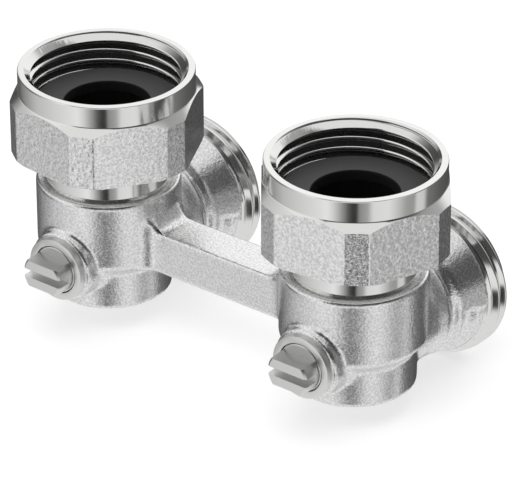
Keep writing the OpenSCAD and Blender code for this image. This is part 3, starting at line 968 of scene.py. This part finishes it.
# Ball with its angled waterway and the slot for the spindle's tongue
def makeBall():
    b = ball
    port, pole, bend = b["portRadius"], b["poleAngle"], b["elbowAngle"]
    piece = turnOnLathe("ball", arcPoints((0, 0), b["radius"], -pole, pole, smallSteps))
    mouth = [(port + out, along) for out, along in b["portMouth"]]
    up = turnOnLathe("portUp", mouth, steps=smallSteps)
    back = copyPiece(up, "portBack")
    pointTo(back, "rear")
    elbow = turnOnLathe("elbow", arcPoints((0, 0), port, -bend, bend, 32), steps=smallSteps)
    half = b["slotThick"] / 2
    slot = boxPiece("ballSlot", (-8, -8, -half), (8, -b["slotEnd"], half))
    for tool in (up, back, elbow, slot):
        combine(piece, tool)
    dress(piece, ballChrome)
    smoothFaces(piece, b["shadeAngle"])
    return piece


seat = {
    "ballGap": 0.04, "start": 6.6, "end": 8.4, "noseRadius": 4.212, "hollowSteps": 6,
    "flanges": {"top": 6, "rear": 6.4}, "noseEdge": 0.1, "flangeEdge": 0.15, "shadeAngle": 30,
}


# Seat ring: a hollow that follows the ball, and a flange behind it
def makeSeat(place):
    s = seat
    reach = ball["radius"] + s["ballGap"]
    port, nose, start, end = ball["portRadius"], s["noseRadius"], s["start"], s["end"]
    steps, flange = s["hollowSteps"], s["flanges"][place]
    radii = [nose + (port - nose) * k / steps for k in range(steps + 1)]
    profile = [(radius, math.sqrt(reach * reach - radius * radius)) for radius in radii]
    low, high = s["noseEdge"], s["flangeEdge"]
    profile += [(port, end), (flange - high, end), (flange, end - high), (flange, start + low),
                (flange - low, start), (nose, start)]
    ring = turnOnLathe(f"{place}Seat", profile, closed=True, steps=smallSteps)
    dress(ring, ptfeWhite)
    smoothFaces(ring, s["shadeAngle"])
    return ring


retainer = {
    "radius": 7.1, "wall": 2.4, "end": 14.2, "rimEdge": 0.4, "boreEdge": 0.3, "shadeAngle": 30,
    "driverSlot": (2, 1.5),     # width and depth
}


def makeRetainer():
    r = retainer
    outer, start, end = r["radius"], seat["end"], r["end"]
    bore, rim, mouth = outer - r["wall"], r["rimEdge"], r["boreEdge"]
    ring = turnOnLathe("retainer", [
        (bore, start), (outer, start), (outer, end - rim), (outer - rim, end),
        (bore + mouth, end), (bore, end - mouth),
    ], closed=True, steps=smallSteps)
    width, depth = r["driverSlot"]
    slot = boxPiece("driverSlot", (-9, -width / 2, end - depth), (9, width / 2, end + 1))
    combine(ring, slot)
    pointTo(ring, "rear")
    dress(ring, rawBrass)
    smoothFaces(ring, r["shadeAngle"])
    return ring


gasket = {
    "bore": 7, "rim": 11.91, "low": 23.2, "high": 25.2, "edge": 0.25, "paintedShadeEdge": 0.12,
    "shadeAngle": 40,
}


# Flat gasket with rounded edges; its bore is painted black as painted shade
def makeGasket():
    g = gasket
    bore, rim, low, high, soft = g["bore"], g["rim"], g["low"], g["high"], g["edge"]
    profile = []
    for radius, height, start in ((bore + soft, low + soft, 270), (bore + soft, high - soft, 180),
                                  (rim - soft, high - soft, 90), (rim - soft, low + soft, 0)):
        profile += arcPoints((radius, height), soft, start, start - 90, 4)
    ring = turnOnLathe("gasket", profile, closed=True)
    dress(ring, greyRubber)
    # The gasket's bore wall is painted black as painted shade
    coatFaces(ring, blackRubberAndShade, lambda face, reach: reach < bore + g["paintedShadeEdge"])
    smoothFaces(ring, g["shadeAngle"])
    return ring


oRing = {"centreRadius": 3.455, "cordRadius": 0.575, "corners": 24, "shadeAngle": 60}


def makeORing(middle):
    o = oRing
    last = 360 - 360 / o["corners"]     # one step before the first corner
    profile = arcPoints((o["centreRadius"], middle), o["cordRadius"], 0, last, o["corners"] - 1)
    ring = turnOnLathe("oRing", profile, closed=True, steps=smallSteps)
    pointTo(ring, "front")
    dress(ring, blackRubberAndShade)
    smoothFaces(ring, o["shadeAngle"])
    return ring


def makeInnerPieces():
    rearSeat = makeSeat("rear")
    pointTo(rearSeat, "rear")
    innerGroove, outerGroove = spindle["grooves"]
    for model, label, body, slot, node in (
        (makeBall(), "angled_ball", "shutoff", "ball_chrome", "ball"),
        (makeSeat("top"), "upper_seat", None, "ptfe", "top_seat"),
        (rearSeat, "outlet_seat", None, "ptfe", "rear_seat"),
        (makeRetainer(), "slotted_retainer", None, "raw_brass", "seat_retainer"),
        (makeGasket(), "flat_gasket", None, "grey_rubber", "gasket"),
        (makeORing(innerGroove), "inner_seal_ring", "shutoff", "black_rubber", "inner_o_ring"),
        (makeORing(outerGroove), "outer_seal_ring", "shutoff", "black_rubber", "outer_o_ring"),
    ):
        finishPair(model, label, body, node)
    print("inner pieces made")


makeInnerPieces()


# The snap rings and thrust washers keep their CAD mesh and only get a material
def dressCadNodes():
    for name in sideNames.values():
        for node, material in (("snap_ring", springWire), ("thrust_washer", ptfeWhite)):
            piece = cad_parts[f"{name}_{node}"]
            for slot in piece.material_slots:
                slot.material = material
            if not piece.material_slots:
                piece.data.materials.append(material)


dressCadNodes()

# Floor, light and camera

studio = {
    "floorSize": 6, "floorColour": 0.5, "floorRoughness": 0.9, "floorSpecular": 0.1,
    "floorGlow": 0.62, "skyStrength": 1.0, "zenith": 0.88, "nadir": 0.85,
    # (degrees round from the camera, level) of the panels that metal mirrors, by height
    "lowPanels": [
        (-180, 0.2), (-150, 0.1), (-135, 0.25), (-118, 0.4), (-100, 0.6), (-76, 0.72),
        (-50, 0.85), (-36, 0.95), (-28, 0.75), (-19, 0.4), (-10, 0.1), (-4, 0.03), (1, 0.03),
        (3, 0.3), (14, 0.42), (20, 0.82), (40, 0.88), (52, 0.65), (64, 0.4), (76, 0.35),
        (80, 0.75), (92, 0.7), (98, 0.2), (125, 0.12), (180, 0.05),
    ],
    "midPanels": [
        (-180, 0.1), (-100, 0.15), (-80, 0.6), (-60, 0.95), (45, 0.9), (65, 0.5), (80, 0.3),
        (100, 0.15), (180, 0.1),
    ],
    "highPanels": [
        (-180, 1.1), (-166, 0.9), (-152, 0.06), (-141, 0.1), (-128, 0.6), (-90, 0.95),
        (-50, 0.95), (-42, 0.08), (45, 0.06), (75, 0.12), (95, 0.35), (118, 0.45), (128, 1.0),
        (160, 1.1), (180, 1.1),
    ],
    # Heights, as the sine of the elevation, between which a row gives way to the next one up:
    # nadir to low, low to middle, middle to high, high to zenith
    "rowEdges": [(-0.68, -0.6), (-0.38, -0.32), (-0.02, 0.06), (0.74, 0.84)],
    # Distance, degrees round from the camera, height, size in millimetres and power
    "lamps": {"topBox": (230, -12, 430, 330, 0.9), "rightBox": (500, 135, 290, 260, 0.5)},
    "lampAim": (0, 0, 15),
}
view = {
    "azimuth": 37.709, "elevation": 29.449, "distance": 618.87, "target": (6.994, -3.55, 23.462),
    "focal": 3885.5, "pictureWidth": 527,       # both in pixels
    "clip": (0.01, 50),                         # nearest and farthest, in metres
}


# Pale floor that glows for the camera alone, so that it still shows a soft shadow
def makeFloor():
    deselectAll()
    bpy.ops.mesh.primitive_plane_add(size=studio["floorSize"], location=(0, 0, 0))
    floor = bpy.context.object
    floor.name = "paleFloor"
    material, tree, shader = newMaterial("paleFloor")
    shader.inputs["Base Color"].default_value = grey(studio["floorColour"])
    shader.inputs["Roughness"].default_value = studio["floorRoughness"]
    shader.inputs["Specular IOR Level"].default_value = studio["floorSpecular"]
    shader.inputs["Emission Color"].default_value = grey(1)
    path = addNode(tree, "ShaderNodeLightPath", (-700, -300))
    glow = addMath(tree, "MULTIPLY", (-250, -300), second=studio["floorGlow"])
    tree.links.new(path.outputs["Is Camera Ray"], glow.inputs[0])
    tree.links.new(glow.outputs[0], shader.inputs["Emission Strength"])
    floor.data.materials.append(material)
    floor.visible_glossy = False


# Ramp of panel levels against the angle round from the camera
def panelRamp(tree, place, panels):
    ramp = addNode(tree, "ShaderNodeValToRGB", place)
    stops = ramp.color_ramp.elements
    for index, (angle, level) in enumerate(panels):
        spot = (angle + 180) / 360
        if index < 2:
            stops[index].position = spot
        stop = stops[index] if index < 2 else stops.new(spot)
        stop.color = grey(level)
    return ramp


# Angle round from the camera of the direction looked in, as a share of the full turn
def addTurnShare(tree, direction):
    turn = math.radians(view["azimuth"])
    ahead = (math.sin(turn), -math.cos(turn), 0)
    aside = (math.cos(turn), math.sin(turn), 0)
    angle = addMath(tree, "ARCTAN2", (-1050, 100))
    for socket, axis in enumerate((aside, ahead)):
        dot = addNode(tree, "ShaderNodeVectorMath", (-1280, 200 - 200 * socket))
        dot.operation = "DOT_PRODUCT"
        dot.inputs[1].default_value = axis
        tree.links.new(direction, dot.inputs[0])
        tree.links.new(dot.outputs["Value"], angle.inputs[socket])
    share = addRange(tree, (-850, 100), "From", -math.pi, math.pi)
    tree.links.new(angle.outputs[0], share.inputs["Value"])
    return share.outputs["Result"]


def addGrey(tree, place, level):
    node = addNode(tree, "ShaderNodeRGB", place)
    node.outputs[0].default_value = grey(level)
    return node.outputs[0]


# Three rows of panels between nadir and zenith for the metal, and plain white for the camera
def makeSky():
    world = bpy.data.worlds.new("studioSky")
    scene.world = world
    world.use_nodes = True
    tree = world.node_tree
    links = tree.links
    sky = tree.nodes["Background"]
    place = addNode(tree, "ShaderNodeTexCoord", (-1500, 0))
    share = addTurnShare(tree, place.outputs["Generated"])
    height = addNode(tree, "ShaderNodeSeparateXYZ", (-1280, -250))
    links.new(place.outputs["Generated"], height.inputs[0])
    layers = []
    for index, row in enumerate(("lowPanels", "midPanels", "highPanels")):
        ramp = panelRamp(tree, (-1050, -100 - 250 * index), studio[row])
        links.new(share, ramp.inputs["Fac"])
        layers.append(ramp.outputs["Color"])
    layers.append(addGrey(tree, (-1050, -850), studio["zenith"]))
    colour = addGrey(tree, (-1050, 300), studio["nadir"])
    for index, (layer, edges) in enumerate(zip(layers, studio["rowEdges"])):
        x = -700 + 170 * index
        blend = addRange(tree, (x, -300), "From", *edges)
        mix = addColourMix(tree, (x, 0))
        links.new(height.outputs["Z"], blend.inputs["Value"])
        links.new(blend.outputs["Result"], mix.inputs["Factor"])
        links.new(colour, mix.inputs["A"])
        links.new(layer, mix.inputs["B"])
        colour = mix.outputs["Result"]
    links.new(colour, sky.inputs["Color"])
    sky.inputs["Strength"].default_value = studio["skyStrength"]
    backdrop = addNode(
        tree, "ShaderNodeBackground", (0, -200), Color=(1, 1, 1, 1), Strength=1.0
    )
    path = addNode(tree, "ShaderNodeLightPath", (0, 500))
    ends = addNode(tree, "ShaderNodeMixShader", (250, 0))
    links.new(path.outputs["Is Camera Ray"], ends.inputs["Fac"])
    links.new(sky.outputs[0], ends.inputs[1])
    links.new(backdrop.outputs[0], ends.inputs[2])
    links.new(ends.outputs[0], tree.nodes["World Output"].inputs["Surface"])


# Square lamps that light the floor and cast its shadow, but don't show in the metal
def makeLamps():
    for name, (distance, angle, height, size, power) in studio["lamps"].items():
        turn = math.radians(view["azimuth"] + angle)
        place = (distance * math.sin(turn), -distance * math.cos(turn), height)
        deselectAll()
        bpy.ops.object.light_add(type="AREA", location=[c * mm for c in place])
        lamp = bpy.context.object
        lamp.name = name
        lamp.data.size = size * mm
        lamp.data.energy = power
        lamp.visible_glossy = False
        direction = Vector(studio["lampAim"]) - Vector(place)
        lamp.rotation_euler = direction.to_track_quat("-Z", "Y").to_euler()


def makeCamera():
    azimuth, elevation = math.radians(view["azimuth"]), math.radians(view["elevation"])
    back = Vector((
        math.sin(azimuth) * math.cos(elevation), -math.cos(azimuth) * math.cos(elevation),
        math.sin(elevation),
    ))
    camera = bpy.data.objects.new("camera", bpy.data.cameras.new("camera"))
    scene.collection.objects.link(camera)
    camera.location = (Vector(view["target"]) + back * view["distance"]) * mm
    camera.rotation_euler = back.to_track_quat("Z", "Y").to_euler()
    camera.data.lens = view["focal"] * camera.data.sensor_width / view["pictureWidth"]
    camera.data.clip_start, camera.data.clip_end = view["clip"]
    scene.camera = camera


makeFloor()
makeSky()
makeLamps()
makeCamera()
scene.view_settings.view_transform = "Standard"
print("floor, light and camera made")

print("scene ready")
